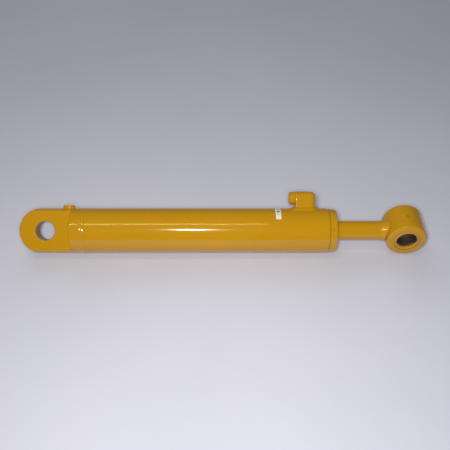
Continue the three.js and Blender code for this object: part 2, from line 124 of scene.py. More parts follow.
BLOCK_END = elbow_high.x
BLOCK_START = BLOCK_END - 32.4
BLOCK_MIDDLE = (BLOCK_START + BLOCK_END) / 2
BLOCK_HALF = 12.5
BLOCK_TOP = 60.9
BLOCK_CORNER = 8.0
BLOCK_EDGE = 9.5
BLOCK_EDGE_LEFT = 2.0
ELBOW_FACE = elbow_low.x
ELBOW_AXIS = 50.5
ELBOW_R = 10.0

FLANGE_START = tube_high.x + 0.5
FLANGE_END = gland_high.x
FLANGE_R = (gland_high.z - gland_low.z) / 2
CONE_LENGTH = 5.2
CONE_DROP = 0.85
SPANNER_X = 444.6
SPANNER_TURN = math.radians(2.4)
NOSE_START = gland_low.x

BUSH_R = (bush_high.x - bush_low.x) / 2
BUSH_HALF = (bush_high.y - bush_low.y) / 2
GREASE_R = 2.0
SEAT_GAP = 0.05
PRESS_GAP = 0.1
ROD_WELD_START = box_mm("rod_eye_weld")[0].x
ROD_WELD_SLOPE = 0.302
ROD_WELD_HEAVY_TURN = math.radians(-23)


# ---------------------------------------------------------------- meshes
def mesh_object(name, points, faces, normals=None, bare=None):
    """Closed mesh object from points in millimetres, smooth, with faces turned outwards."""
    mesh = bpy.data.meshes.new(name)
    mesh.from_pydata((np.asarray(points) * MM).tolist(), [], faces)
    if bare is not None:
        layer = mesh.attributes.new("bare", "FLOAT", "POINT")
        layer.data.foreach_set("value", np.asarray(bare, np.float32))
    work = bmesh.new()
    work.from_mesh(mesh)
    bmesh.ops.recalc_face_normals(work, faces=work.faces)
    work.to_mesh(mesh)
    work.free()
    mesh.polygons.foreach_set("use_smooth", [True] * len(mesh.polygons))
    mesh.update()
    if normals is not None:
        mesh.normals_split_custom_set_from_vertices(np.asarray(normals).tolist())
    obj = bpy.data.objects.new(name, mesh)
    bpy.context.scene.collection.objects.link(obj)
    return obj


def joined(name, *objects):
    """Several meshes as one piece."""
    bpy.ops.object.select_all(action="DESELECT")
    for obj in objects:
        obj.select_set(True)
    bpy.context.view_layer.objects.active = objects[0]
    bpy.ops.object.join()
    objects[0].name = name
    return objects[0]


def to_row(points, barrel=True):
    """Points from the barrel frame to the row frame. With barrel=False they are in it already."""
    return points @ BARREL_FRAME if barrel else points


def softened(corners):
    """Closed profile of (x, r, corner radius) points with its corners rounded. A point just beyond
    each end of an arc keeps the shading of the straight stretch straight."""
    arc_steps = 4
    support = 0.6
    path = []
    count = len(corners)
    for i, (x, r, radius) in enumerate(corners):
        here = np.array((x, r), float)
        before = np.array(corners[i - 1][:2], float) - here
        after = np.array(corners[(i + 1) % count][:2], float) - here
        if radius == 0:
            path.append(tuple(here))
            continue
        before /= np.linalg.norm(before)
        after /= np.linalg.norm(after)
        half = math.acos(np.clip(before @ after, -1, 1)) / 2
        back = radius / math.tan(half)
        start, end = here + before * back, here + after * back
        centre = here + (before + after) / np.linalg.norm(before + after) * radius / math.sin(half)
        path.append(tuple(start + before * radius * support))
        for step in np.linspace(0, 1, arc_steps + 1):
            spoke = (start - centre) * (1 - step) + (end - centre) * step
            path.append(tuple(centre + spoke / np.linalg.norm(spoke) * radius))
        path.append(tuple(end + after * radius * support))
    return path


def revolved(name, corners, facets=128, bare=None, about_y=None):
    """Closed profile turned about X, or about the line along Y through (x, y) = about_y."""
    along, radius = np.array(softened(corners)).T
    rows, turn = len(along), np.linspace(0, 2 * math.pi, facets, endpoint=False)
    a, t = (v.ravel() for v in np.meshgrid(along, turn, indexing="ij"))
    r = np.repeat(radius, facets)
    if about_y is None:
        points = np.stack([a, r * np.sin(t), r * np.cos(t)], -1)
    else:
        points = np.stack([about_y[0] + r * np.sin(t), about_y[1] + a, r * np.cos(t)], -1)
    values = None if bare is None else bare(a, r, t)
    return mesh_object(name, points, grid_faces(rows, facets), bare=values)


def grid_faces(rows, columns):
    """Quads of a grid that closes on itself both ways."""
    i, j = np.meshgrid(np.arange(rows), np.arange(columns), indexing="ij")
    i, j = i.ravel(), j.ravel()
    down, across = (i + 1) % rows, (j + 1) % columns
    corners = [i * columns + j, down * columns + j, down * columns + across, i * columns + across]
    return np.stack(corners, -1).tolist()


def sleeve(name, x, r, t, facets, inner, barrel=True):
    """Rows of points round the X axis, closed underneath by a plain wall of radius inner."""
    x = np.concatenate([x, x[-facets:], x[:facets]])
    t = np.concatenate([t, t[-facets:], t[:facets]])
    r = np.concatenate([r, np.full(2 * facets, inner)])
    points = np.stack([x, r * np.sin(t), r * np.cos(t)], -1)
    return mesh_object(name, to_row(points, barrel), grid_faces(len(x) // facets, facets))


def gradient(field, points):
    """Direction in which the field grows fastest, of length 1 except where the field is nearly flat."""
    reach = 0.02
    least_slope = 0.5
    slope = np.empty_like(points)
    for axis in range(3):
        shift = np.zeros(3)
        shift[axis] = reach
        slope[:, axis] = field(points + shift) - field(points - shift)
    slope /= 2 * reach
    return slope / np.maximum((slope**2).sum(1, keepdims=True), least_slope**2) ** 0.5


def net(name, field, low, high, step, bare=None, barrel=True):
    """Closed mesh of the surface where field(points) is 0: one vertex for each grid cell that the
    surface crosses, pulled onto it, with the field's own normals."""
    pulls = 6
    least_distance = 0.05 * step
    axes = [np.arange(a - step, b + 2 * step, step) for a, b in zip(low, high)]
    grid = np.stack(np.meshgrid(*axes, indexing="ij"), -1)
    shape = grid.shape[:3]
    value = field(grid.reshape(-1, 3)).reshape(shape)
    inside = value < 0
    cells = tuple(n - 1 for n in shape)
    corner = [tuple(slice(d, n - 1 + d) for d, n in zip(offset, shape)) for offset in np.ndindex(2, 2, 2)]
    count = sum(inside[c].astype(int) for c in corner)
    crossed = (count > 0) & (count < len(corner))
    index = np.full(cells, -1)
    index[crossed] = np.arange(crossed.sum())
    weight = np.zeros(cells)
    middle = np.zeros(cells + (3,))
    for c in corner:
        near = 1 / (np.abs(value[c]) + least_distance)
        middle += grid[c] * near[..., None]
        weight += near
    points = (middle / weight[..., None])[crossed]
    for _ in range(pulls):
        points = points - np.clip(field(points), -step, step)[:, None] * gradient(field, points)
    faces = []
    for axis in range(3):
        one, two = (axis + 1) % 3, (axis + 2) % 3
        here = [slice(None)] * 3
        there = [slice(None)] * 3
        here[axis], there[axis] = slice(0, -1), slice(1, None)
        change = inside[tuple(here)] != inside[tuple(there)]
        edge = np.argwhere(change)
        edge = edge[(edge[:, one] > 0) & (edge[:, two] > 0)]
        edge = edge[(edge[:, one] < cells[one]) & (edge[:, two] < cells[two])]
        around = []
        for back_one, back_two in ((1, 1), (0, 1), (0, 0), (1, 0)):
            cell = edge.copy()
            cell[:, one] -= back_one
            cell[:, two] -= back_two
            around.append(index[tuple(cell.T)])
        faces += np.stack(around, -1).tolist()
    values = None if bare is None else bare(points)
    normals = gradient(field, points)
    return mesh_object(name, to_row(points, barrel), faces, to_row(normals, barrel), values)


# ---------------------------------------------------------------- fields
def fuse(a, b, radius):
    """Both solids, with a concave fillet between them."""
    corner = np.hypot(np.maximum(radius - a, 0), np.maximum(radius - b, 0))
    return np.maximum(radius, np.minimum(a, b)) - corner


def meet(a, b, radius):
    """What the two solids share, with its edge rounded."""
    corner = np.hypot(np.maximum(radius + a, 0), np.maximum(radius + b, 0))
    return np.minimum(-radius, np.maximum(a, b)) + corner


def scales(along, across, pitch):
    """Height, from 0 to 1, of the overlapping crescents that a weld pool leaves."""
    bow, rise = 0.32, 0.18
    share = (along / pitch + bow * across**2) % 1.0
    return (1 - share) * np.clip(share / rise, 0, 1)


def wander(along, seed):
    """Slow, repeatable wobble between about -1 and 1 along a weld."""
    return 0.5 * np.sin(along * 0.31 + seed) + 0.3 * np.sin(along * 0.77 + 2.1 * seed)


def smooth_step(value, low, high):
    share = np.clip((value - low) / (high - low), 0, 1)
    return share * share * (3 - 2 * share)


def unmarked(points):
    """Values of "bare" for a piece that is painted all over."""
    return np.zeros(len(points))


def mark_bare(obj, value):
    layer = obj.data.attributes.get("bare") or obj.data.attributes.new("bare", "FLOAT", "POINT")
    layer.data.foreach_set("value", np.broadcast_to(value, len(obj.data.vertices)).astype(np.float32))


# ---------------------------------------------------------------- node helpers
class Graph:
    """Small wrapper that makes a material's nodes readable."""

    def __init__(self, name):
        self.material = bpy.data.materials.new(name)
        self.material.use_nodes = True
        self.nodes = self.material.node_tree.nodes
        self.nodes.clear()
        self.links = self.material.node_tree.links
        self.shader = self.nodes.new("ShaderNodeBsdfPrincipled")
        output = self.nodes.new("ShaderNodeOutputMaterial")
        self.links.new(self.shader.outputs["BSDF"], output.inputs["Surface"])
        self.coordinates = self.nodes.new("ShaderNodeTexCoord").outputs["Object"]

    def set(self, **values):
        for key, value in values.items():
            self.shader.inputs[key.replace("_", " ")].default_value = value

    def link(self, source, socket):
        self.links.new(source, self.shader.inputs[socket])

    def noise(self, scale, detail=2.0, roughness=0.5, stretch=None):
        node = self.nodes.new("ShaderNodeTexNoise")
        node.inputs["Scale"].default_value = scale
        node.inputs["Detail"].default_value = detail
        node.inputs["Roughness"].default_value = roughness
        self.links.new(self.stretched(stretch), node.inputs["Vector"])
        return node.outputs["Fac"]

    def stretched(self, stretch):
        if stretch is None:
            return self.coordinates
        node = self.nodes.new("ShaderNodeMapping")
        node.inputs["Scale"].default_value = stretch
        self.links.new(self.coordinates, node.inputs["Vector"])
        return node.outputs["Vector"]

    def specks(self, scale, size):
        """Small round marks: 1 at a mark's middle, 0 away from it."""
        node = self.nodes.new("ShaderNodeTexVoronoi")
        node.inputs["Scale"].default_value = scale
        self.links.new(self.coordinates, node.inputs["Vector"])
        return self.ramp(node.outputs["Distance"], size, 0.0)

    def ramp(self, value, low, high, to_low=0.0, to_high=1.0):
        node = self.nodes.new("ShaderNodeMapRange")
        node.inputs["From Min"].default_value = low
        node.inputs["From Max"].default_value = high
        node.inputs["To Min"].default_value = to_low
        node.inputs["To Max"].default_value = to_high
        self.links.new(value, node.inputs["Value"])
        return node.outputs["Result"]

    def math(self, operation, a, b):
        node = self.nodes.new("ShaderNodeMath")
        node.operation = operation
        for socket, value in zip(node.inputs, (a, b)):
            if isinstance(value, (int, float)):
                socket.default_value = value
            else:
                self.links.new(value, socket)
        return node.outputs["Value"]

    def mix(self, factor, a, b):
        node = self.nodes.new("ShaderNodeMix")
        node.data_type = "RGBA"
        for socket, value in ((node.inputs[0], factor), (node.inputs[6], a), (node.inputs[7], b)):
            if isinstance(value, (int, float)):
                socket.default_value = value
            elif isinstance(value, tuple):
                socket.default_value = (*value, 1)
            else:
                self.links.new(value, socket)
        return node.outputs[2]

    def attribute(self, name):
        node = self.nodes.new("ShaderNodeAttribute")
        node.attribute_name = name
        return node.outputs["Fac"]

    def bump(self, *layers):
        """Layers of (height, strength, distance in millimetres), each on top of the one before."""
        normal = None
        for height, strength, distance in layers:
            node = self.nodes.new("ShaderNodeBump")
            node.inputs["Strength"].default_value = strength
            node.inputs["Distance"].default_value = distance * MM
            self.links.new(height, node.inputs["Height"])
            if normal is not None:
                self.links.new(normal, node.inputs["Normal"])
            normal = node.outputs["Normal"]
        self.link(normal, "Normal")


# ---------------------------------------------------------------- materials
AMBER = (0.555, 0.280, 0.0030)
AMBER_DEEP = (0.520, 0.258, 0.0025)
AMBER_WARM = (0.575, 0.278, 0.0035)
STEEL = (0.30, 0.285, 0.265), (0.10, 0.082, 0.066)
PEEL = 0.20


def clouded_amber(g):
    """The enamel's colour, deeper in large soft clouds."""
    cloudy = g.ramp(g.noise(9, 3), 0.35, 0.65)
    return g.mix(g.math("MULTIPLY", cloudy, 0.55), AMBER, AMBER_DEEP)


def orange_peel(g):
    """Height of the enamel's soft ripple."""
    return g.noise(230, 2, 0.4)


def clear_coat(g, bare):
    """Clear coat over all that is still painted."""
    g.link(g.math("SUBTRACT", 1, bare), "Coat Weight")
    g.set(Coat_Roughness=0.12, Specular_IOR_Level=0.05)


def enamel(name, grain=0.0, torn_scale=520, bare_colours=STEEL, bare_roughness=0.42, bare_metal=0.9):
    """Glossy amber enamel with orange peel and nibs, gone from what lies under it where "bare" is 1."""
    g = Graph(name)
    patchy = g.ramp(g.noise(48, 4, 0.6), 0.42, 0.7)
    paint = g.mix(g.math("MULTIPLY", patchy, 0.30), clouded_amber(g), AMBER_WARM)
    steel = g.mix(g.ramp(g.noise(260, 4, 0.7), 0.35, 0.7), *bare_colours)
    torn = g.math("MULTIPLY", g.math("SUBTRACT", g.noise(torn_scale, 3), 0.5), 0.9)
    worn = g.ramp(g.math("ADD", g.attribute("bare"), torn), 0.46, 0.54)
    g.link(g.mix(worn, paint, steel), "Base Color")
    gloss = g.ramp(g.noise(70, 3), 0.3, 0.7, 0.36, 0.46)
    rough = g.math("ADD", g.math("MULTIPLY", g.math("SUBTRACT", 1, worn), gloss),
                   g.math("MULTIPLY", worn, bare_roughness))
    g.link(rough, "Roughness")
    g.link(g.math("MULTIPLY", worn, bare_metal), "Metallic")
    clear_coat(g, worn)
    layers = [
        (orange_peel(g), PEEL, 0.10),
        (g.specks(95, 0.035), 0.35, 0.12),
        (worn, 0.5, -0.08),
    ]
    if grain:
        layers.insert(0, (g.noise(900, 4, 0.65), grain, 0.2))
    g.bump(*layers)
    return g.material


def machined(name, light, dark, roughness, pitch, grime=0.3):
    """Turned steel: fine tool marks round the axis, smudges and a trace of dried oil."""
    g = Graph(name)
    smudge = g.ramp(g.noise(38, 4, 0.6), 0.4, 0.75)
    g.link(g.mix(g.math("MULTIPLY", smudge, grime), light, dark), "Base Color")
    lines = g.noise(1.0, 3, 0.6, stretch=(1 / (pitch * MM), 30, 30))
    worked = g.ramp(lines, 0.3, 0.7, -0.05, 0.05)
    duller = g.ramp(smudge, 0, 1, roughness, roughness + 0.14)
    g.link(g.math("ADD", worked, duller), "Roughness")
    g.set(Metallic=1.0)
    g.bump((lines, 0.25, 0.03))
    return g.material


def moulded(name, colour, roughness, grain_scale, grain):
    """Rubber or plastic with a fine skin and pale bloom."""
    g = Graph(name)
    bloom = g.ramp(g.noise(60, 4, 0.6), 0.45, 0.8)
    lighter = tuple(min(1.0, 1.5 * c + 0.02) for c in colour)
    g.link(g.mix(g.math("MULTIPLY", bloom, 0.5), colour, lighter), "Base Color")
    g.link(g.ramp(bloom, 0, 1, roughness, roughness + 0.15), "Roughness")
    g.bump((g.noise(grain_scale, 3), grain, 0.05))
    return g.material


def woven_resin():
    """Fabric-reinforced resin of the guide rings: crossed threads under a matt skin."""
    g = Graph("guide_resin")
    threads = []
    for direction in ("X", "Z"):
        wave = g.nodes.new("ShaderNodeTexWave")
        wave.bands_direction = direction
        wave.inputs["Scale"].default_value = 320
        g.links.new(g.coordinates, wave.inputs["Vector"])
        threads.append(wave.outputs["Fac"])
    weave = g.math("MAXIMUM", *threads)
    g.link(g.mix(g.ramp(weave, 0.3, 1.0), (0.085, 0.034, 0.016), (0.20, 0.088, 0.042)), "Base Color")
    g.set(Roughness=0.55)
    g.bump((weave, 0.4, 0.06))
    return g.material


def chromed():
    """Rod: mirror chrome with hair scratches, painted over beyond the wiper."""
    g = Graph("rod_chrome_and_paint")
    torn = g.math("MULTIPLY", g.math("SUBTRACT", g.noise(420, 3), 0.5), 0.5)
    bare = g.ramp(g.math("ADD", g.attribute("bare"), torn), 0.44, 0.56)
    film = g.ramp(g.noise(30, 4, 0.6), 0.4, 0.8)
    chrome = g.mix(g.math("MULTIPLY", film, 0.35), (0.66, 0.67, 0.69), (0.50, 0.49, 0.47))
    g.link(g.mix(bare, clouded_amber(g), chrome), "Base Color")
    scratches = g.noise(1.0, 4, 0.7, stretch=(25, 900, 900))
    painted = g.math("MULTIPLY", g.math("SUBTRACT", 1, bare), 0.40)
    polished = g.math("MULTIPLY", bare, g.ramp(scratches, 0.4, 0.8, 0.07, 0.16))
    g.link(g.math("ADD", painted, polished), "Roughness")
    g.link(bare, "Metallic")
    clear_coat(g, bare)
    g.bump((orange_peel(g), PEEL, 0.08), (bare, 0.5, -0.06))
    return g.material


def paper():
    """Blank label stock with soft grey print smudges where the "ink" attribute is 1."""
    g = Graph("label_paper")
    fibre = g.ramp(g.noise(900, 4, 0.6), 0.3, 0.7)
    stock = g.mix(g.math("MULTIPLY", fibre, 0.35), (0.86, 0.86, 0.85), (0.74, 0.74, 0.72))
    g.link(g.mix(g.attribute("ink"), stock, (0.16, 0.17, 0.18)), "Base Color")
    g.set(Roughness=0.5)
    g.bump((fibre, 0.15, 0.03))
    return g.material


PAINT = enamel("amber_enamel")
WELD_PAINT = enamel("amber_enamel_on_weld", grain=0.25)
GLAND_PAINT = enamel("amber_enamel_on_gland")
CHROME = chromed()
PISTON_STEEL = machined("piston_steel", (0.42, 0.42, 0.43), (0.20, 0.18, 0.15), 0.26, 0.35)
NUT_STEEL = machined("nut_steel", (0.32, 0.32, 0.33), (0.16, 0.15, 0.13), 0.34, 0.6, grime=0.5)
RUSTY_STEEL = (0.62, 0.47, 0.30), (0.32, 0.22, 0.14)
TANG_PAINT = enamel("tang_paint_and_bore", bare_colours=RUSTY_STEEL, bare_roughness=0.5, bare_metal=0.4)
OILY_STEEL = (0.40, 0.35, 0.28), (0.16, 0.125, 0.09)
# the bush's lighter lower bore and dark upper chamfer are painted light and painted shade
BUSH_PAINT = enamel("bush_paint_steel_and_painted_light", torn_scale=1900, bare_colours=OILY_STEEL, bare_roughness=0.38)
NITRILE = (0.012, 0.012, 0.013), (0.035, 0.035, 0.036)
WIPER_PAINT = enamel("wiper_rubber_and_overspray", bare_colours=NITRILE, bare_roughness=0.5, bare_metal=0.0)
RUBBER = moulded("seal_rubber", (0.012, 0.012, 0.013), 0.5, 700, 0.25)
POLYURETHANE = moulded("seal_polyurethane", (0.02, 0.065, 0.13), 0.4, 500, 0.12)
RESIN = woven_resin()
LABEL = paper()


def finished(obj, body, slot, material, *nodes):
    """Puts a finish on a piece, lets it ride on its body and stand for its CAD nodes."""
    obj.data.materials.clear()
    obj.data.materials.append(material)
    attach(obj, body)
    if nodes:
        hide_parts(*nodes)
    return obj


# ---------------------------------------------------------------- base end
def base_tang():
    """Round bar milled to a flat tang, with its pin bore, its oil drillings and the spigot that centres
    it in the tube. The rounding of the flats' edges fades out towards the round bar."""
    edge, edge_lost_at_wall = 2.4, 0.87
    lost_from, lost_to = FLAT_END - 14, FLAT_END - 6
    bore_edge, spigot_edge, spigot_gap = 1.8, 0.8, 0.2
    port_floor = BASE_BOSS_TOP - PORT_DEPTH - 3

    def field(p):
        x, y, z = p.T
        bar = np.hypot(y, z) - TUBE_R
        end = np.hypot(np.minimum(x - TANG_END_X, 0), z) - TUBE_R
        flats = fuse(np.abs(y) - TANG_HALF, FLAT_END - x, FLAT_FILLET)
        near_wall = smooth_step(x, lost_from, lost_to)
        body = meet(np.maximum(bar, end), flats, edge * (1 - edge_lost_at_wall * near_wall))
        body = meet(body, PIN_R - np.hypot(x, z), bore_edge)
        body = np.maximum(body, x - SHOULDER)
        spigot = meet(np.hypot(y, z) - BORE_R + spigot_gap, x - SPIGOT_END, spigot_edge)
        body = np.minimum(body, np.maximum(spigot, FLAT_END + 4 - x))
        across = np.hypot(x - BASE_PORT_X, y)
        port = np.maximum(across - THREAD_R, port_floor - z)
        drilling = np.maximum(across - OIL_R, -z)
        gallery = np.maximum(np.hypot(y, z) - OIL_R, BASE_PORT_X - x)
        return np.maximum(body, -np.minimum(np.minimum(port, drilling), gallery))

    def bare(p):
        worn, paint_full_to, paint_thin_from = 0.62, 2.0, 7.0
        x, y, z = p.T
        bore = smooth_step(PIN_R + 0.9 - np.hypot(x, z), 0.0, 0.7)
        deep = smooth_step(TANG_HALF - np.abs(y), paint_full_to, paint_thin_from)
        hidden = smooth_step(x, SHOULDER - 0.5, SHOULDER + 0.5)
        return np.maximum(worn * bore * deep, hidden)

    low = (TANG_TIP, -TUBE_R, -TUBE_R)
    return net("milled_tang", field, low, (SPIGOT_END, TUBE_R, TUBE_R), 0.8, bare)


def girth_bead():
    """Low, dressed weld between the tang's bar and the tube: two passes, and the lump where it was
    closed."""
    middle = SHOULDER - 1.4
    half, edge = 5.4, 0.1
    passes = ((-2.2, 2.9, 0.31), (2.2, 2.4, 0.28))  # middle, half width and height of each
    sway, unevenness, ripple_height, ripple_pitch, bluntness = 0.25, 0.05, 0.04, 2.1, 1.8
    lump_turn, lump_x, lump_height = 1.01 * math.pi, 3.5, 0.7
    lump_length, lump_width = 3.6, 2.6
    facets, rows = 720, 29
    turn = np.linspace(0, 2 * math.pi, facets, endpoint=False)
    u, t = (v.ravel() for v in np.meshgrid(np.linspace(-1, 1, rows), turn, indexing="ij"))
    along = t * TUBE_R
    offset = half * u
    height = np.zeros_like(u)
    for seed, (centre, reach, crown) in enumerate(passes):
        v = (offset - centre - sway * wander(along, 5.0 + seed)) / reach
        arch = np.clip(1 - v**2, 0, 1) ** bluntness
        ripple = ripple_height * scales(along + 0.7 * seed, v, ripple_pitch) * arch
        bead = crown * arch * (1 + unevenness * wander(along, 1.0 + seed)) + ripple
        height = np.maximum(height, bead)
    lump = ((t - lump_turn) * TUBE_R / lump_length) ** 2 + ((offset - lump_x) / lump_width) ** 2
    height = height + lump_height * np.exp(-lump) * np.clip((1 - np.abs(u)) / edge, 0, 1)
    return sleeve("girth_weld_bead", middle + offset, TUBE_R + height - 0.05, t, facets, TUBE_R - 0.8)


def thread(name, start, end, place):
    """Threaded sleeve from start to end along its own axis, closed behind by a thin wall."""
    facets, rows_per_turn = 64, 8
    depth, sleeve_wall = 0.55, 0.4
    rows = int((end - start) / THREAD_PITCH * rows_per_turn)
    along, turn = np.meshgrid(np.linspace(start, end, rows), np.arange(facets) / facets, indexing="ij")
    phase = (along / THREAD_PITCH + turn) % 1.0
    inner = THREAD_R - depth + depth * np.abs(2 * phase - 1)
    inner[0], inner[-1] = THREAD_R, THREAD_R
    outer = np.full((2, facets), THREAD_R + sleeve_wall)
    r = np.concatenate([inner, outer]).ravel()
    a = np.concatenate([along, along[-1:], along[:1]]).ravel()
    t = 2 * math.pi * np.concatenate([turn, turn[:2]]).ravel()
    return mesh_object(name, to_row(place(a, r * np.cos(t), r * np.sin(t))), grid_faces(rows + 2, facets))


def base_boss():
    """Round port boss that sits on the bar's curve, with a threaded sleeve in its mouth."""
    top_edge, mouth_edge = 0.9, 0.5

    def field(p):
        x, y, z = p.T
        across = np.hypot(x - BASE_PORT_X, y)
        boss = meet(across - BASE_BOSS_R, z - BASE_BOSS_TOP, top_edge)
        boss = meet(boss, THREAD_R + PRESS_GAP - across, mouth_edge)
        return np.maximum(boss, TUBE_R + SEAT_GAP - np.hypot(y, z))

    low = (BASE_PORT_X - BASE_BOSS_R, -BASE_BOSS_R, TUBE_R - 3)
    high = (BASE_PORT_X + BASE_BOSS_R, BASE_BOSS_R, BASE_BOSS_TOP)
    body = net("base_boss", field, low, high, 0.45, unmarked)
    threaded = thread("base_thread", BASE_BOSS_TOP - PORT_DEPTH, BASE_BOSS_TOP - THREAD_LEAD_IN,
                      lambda a, b, c: np.stack([BASE_PORT_X + b, c, a], -1))
    mark_bare(threaded, 1.0)
    return joined("base_port_boss_fine", body, threaded)


def base_boss_bead():
    """Small fillet weld round the base boss."""
    size = 0.9
    ripple_height, ripple_pitch, sunk = 0.10, 1.8, 0.3

    def field(p):
        x, y, z = p.T
        across = np.hypot(x - BASE_PORT_X, y) - BASE_BOSS_R
        height = np.hypot(y, z) - TUBE_R
        along = np.arctan2(y, x - BASE_PORT_X) * BASE_BOSS_R
        ripple = ripple_height * scales(along, across / size, ripple_pitch)
        bead = np.hypot(across - 0.2, height - 0.1) - size - ripple
        return np.maximum(np.maximum(bead, -across - sunk), -height - sunk)

    reach = BASE_BOSS_R + size + 1
    low = (BASE_PORT_X - reach, -reach, TUBE_R - 5)
    high = (BASE_PORT_X + reach, reach, TUBE_R + size + 0.6)
    return net("base_boss_bead", field, low, high, 0.4, unmarked)


# ---------------------------------------------------------------- barrel and elbow port
def tube():
    """Honed tube with a weld chamfer at the base end and a counterbore for the gland's thread."""
    weld_prep = 4.0
    bevel, bevel_drop = 2.8, 0.5
    counterbore_start, counterbore_depth = 423, 1.0
    corners = [
        (tube_low.x, BORE_R, 0.3),
        (tube_low.x, TUBE_R - weld_prep, 0),
        (tube_low.x + weld_prep, TUBE_R, 0.8),
        (tube_high.x - bevel, TUBE_R, 0.6),
        (tube_high.x, TUBE_R - bevel_drop, 0.4),
        (tube_high.x, BORE_R + counterbore_depth, 0.3),
        (counterbore_start + counterbore_depth, BORE_R + counterbore_depth, 0),
        (counterbore_start, BORE_R, 0),
    ]
    painted_above = TUBE_R - 1.5
    return revolved("painted_tube", corners, 192, bare=lambda a, r, t: (r < painted_above).astype(float))


def elbow_block():
    """Port block with a round outlet towards the base end, drilled down into the tube."""
    outlet_edge, outlet_foot, mouth_edge = 2.0, 2.5, 0.5

    def field(p):
        x, y, z = p.T
        side = meet(x - BLOCK_END, z - BLOCK_TOP, BLOCK_CORNER)
        block = meet(side, np.abs(y) - BLOCK_HALF, BLOCK_EDGE)
        block = meet(block, BLOCK_START - x, BLOCK_EDGE_LEFT)
        around = np.hypot(y, z - ELBOW_AXIS)
        outlet = np.maximum(meet(around - ELBOW_R, ELBOW_FACE - x, outlet_edge), x - BLOCK_MIDDLE)
        body = fuse(block, outlet, outlet_foot)
        body = np.maximum(body, TUBE_R + SEAT_GAP - np.hypot(y, z))
        mouth = np.maximum(around - THREAD_R - PRESS_GAP, x - ELBOW_FACE - PORT_DEPTH)
        body = meet(body, -mouth, mouth_edge)
        gallery = np.maximum(around - OIL_R, x - BLOCK_MIDDLE - OIL_R)
        drop = np.maximum(np.hypot(x - BLOCK_MIDDLE, y) - OIL_R, z - ELBOW_AXIS)
        return np.maximum(body, -np.minimum(gallery, drop))

    def unpainted(x):
        return smooth_step(x - ELBOW_FACE, 2.5, 4.5)

    def bare(p):
        x, y, z = p.T
        around = np.hypot(y, z - ELBOW_AXIS)
        return smooth_step(THREAD_R + 0.6 - around, 0.0, 0.4) * unpainted(x) * (x < BLOCK_MIDDLE)

    low = (ELBOW_FACE, -BLOCK_HALF, TUBE_R - 5)
    high = (BLOCK_END, BLOCK_HALF, BLOCK_TOP)
    body = net("elbow_block", field, low, high, 0.6, bare)
    threaded = thread("elbow_thread", ELBOW_FACE + THREAD_LEAD_IN, ELBOW_FACE + PORT_DEPTH,
                      lambda a, b, c: np.stack([a, b, ELBOW_AXIS + c], -1))
    mark_bare(threaded, [float(unpainted(vertex.co.x / MM)) for vertex in threaded.data.vertices])
    return joined("elbow_port_fine", body, threaded)


def elbow_bead():
    """Fillet weld round the elbow's foot, with a longer leg under the outlet."""
    half = (BLOCK_END - BLOCK_START) / 2
    leg_out, leg_up = 4.4, 3.5
    heavier, heavier_over = 1.6, 4.0
    ripple_height, ripple_pitch, unevenness = 0.22, 2.3, 0.18

    def field(p):
        x, y, z = p.T
        corner = np.where(x > BLOCK_MIDDLE, BLOCK_EDGE, BLOCK_EDGE_LEFT)
        side_x, side_y = np.abs(x - BLOCK_MIDDLE) - half + corner, np.abs(y) - BLOCK_HALF + corner
        outward = np.hypot(np.maximum(side_x, 0), np.maximum(side_y, 0))
        outward = outward + np.minimum(np.maximum(side_x, side_y), 0) - corner
        height = np.hypot(y, z) - TUBE_R
        along = np.arctan2(y / BLOCK_HALF, (x - BLOCK_MIDDLE) / half) * (half + BLOCK_HALF) / 2
        ripple = ripple_height * scales(along, (outward - height) / leg_up, ripple_pitch)
        ripple = ripple + unevenness * wander(along, 4.0)
        under_outlet = heavier * smooth_step(BLOCK_MIDDLE - x, half - heavier_over, half)
        out = leg_out + under_outlet
        bead = (outward * leg_up + height * out - leg_up * out) / np.hypot(leg_up, out) - ripple
        bead = meet(bead, height - leg_up + 0.3, 0.5)
        return np.maximum(np.maximum(bead, -outward - 0.4), -height - 0.3)

    reach_x, reach_y = half + leg_out + heavier + 2, BLOCK_HALF + leg_out + 2
    low = (BLOCK_MIDDLE - reach_x, -reach_y, TUBE_R - 8)
    high = (BLOCK_MIDDLE + reach_x, reach_y, TUBE_R + leg_up + 1)
    return net("elbow_weld_bead", field, low, high, 0.5, unmarked)


